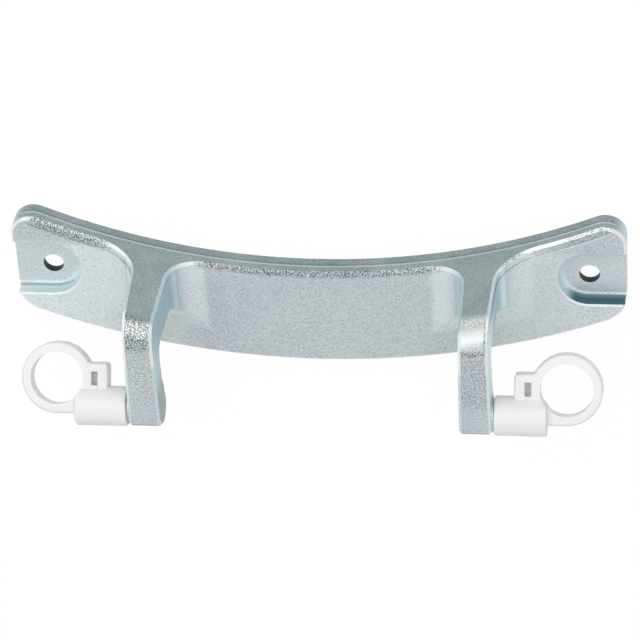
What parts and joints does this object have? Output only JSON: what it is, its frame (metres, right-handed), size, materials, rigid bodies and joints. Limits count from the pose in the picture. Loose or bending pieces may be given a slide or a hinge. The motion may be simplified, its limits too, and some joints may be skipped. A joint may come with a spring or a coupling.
{
  "type": "washing machine door hinge",
  "caption": "Door hinge with a crescent screw-on casting, hanging arms with pins, and pivoting plastic bushes whose round eyes take a door's pegs.",
  "frame": {"origin": "back face of the bracket, midway between the two screw holes", "axes": "+X along the bracket from the left screw hole to the right, +Y towards the middle of the porthole, +Z out of the bracket's front"},
  "size_m": [0.1946, 0.0541, 0.048],
  "materials": {
    "die_cast_zinc": "die-cast zinc, blue-grey, as cast and lightly blasted, satin",
    "pin_steel": "ground steel",
    "moulded_plastic": "white acetal, satin, as moulded"
  },
  "bodies": {
    "base": {"bracket": "die_cast_zinc", "left_pin": "pin_steel", "right_pin": "pin_steel"},
    "left_bush": {"left_bush": "moulded_plastic"},
    "right_bush": {"right_bush": "moulded_plastic"}
  },
  "joints": [
    {"name": "left_pivot", "type": "hinge", "parent": "base", "child": "left_bush", "pos_m": [-0.066, -0.0271, 0.0417], "axis": [1, 0, 0], "continuous": true},
    {"name": "right_pivot", "type": "hinge", "parent": "base", "child": "right_bush", "pos_m": [0.066, -0.0271, 0.0417], "axis": [1, 0, 0], "continuous": true}
  ]
}
